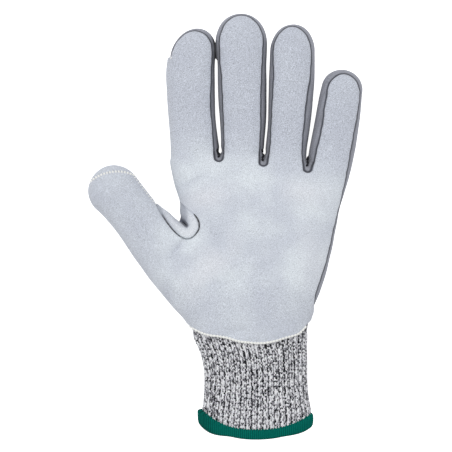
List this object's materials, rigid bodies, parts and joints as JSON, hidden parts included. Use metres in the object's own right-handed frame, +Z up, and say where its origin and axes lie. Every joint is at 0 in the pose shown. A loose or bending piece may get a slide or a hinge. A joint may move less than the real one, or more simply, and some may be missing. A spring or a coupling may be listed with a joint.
{
  "type": "work glove",
  "caption": "Hollow cut-resistant work glove lying palm up: ribbed knit cuff with bound hem, dark coated knit fingers, and a sewn split-leather palm with finger fronts, thumb and thumb crotch.",
  "frame": {"origin": "on the surface the glove lies on, under the middle of its bounding box", "axes": "+X towards the little finger's side, +Y from the cuff to the fingertips, +Z up, out of the palm"},
  "size_m": [0.1646, 0.2546, 0.0359],
  "materials": {
    "heather_knit": "black and white heather knit, ribbed at the cuff",
    "coated_knit": "knit dipped in dark grey matte coating",
    "suede": "pale grey split leather, rough side out",
    "binding_thread": "green overlock thread"
  },
  "bodies": {
    "root": {"cuff_knit": "heather_knit", "hand_knit": "heather_knit", "index_stall": "coated_knit", "middle_stall": "coated_knit", "ring_stall": "coated_knit", "little_stall": "coated_knit", "thumb_stall": "coated_knit", "palm_leather": "suede", "thumb_back_leather": "suede", "thumb_web_leather": "suede", "cuff_binding": "binding_thread"}
  },
  "joints": []
}
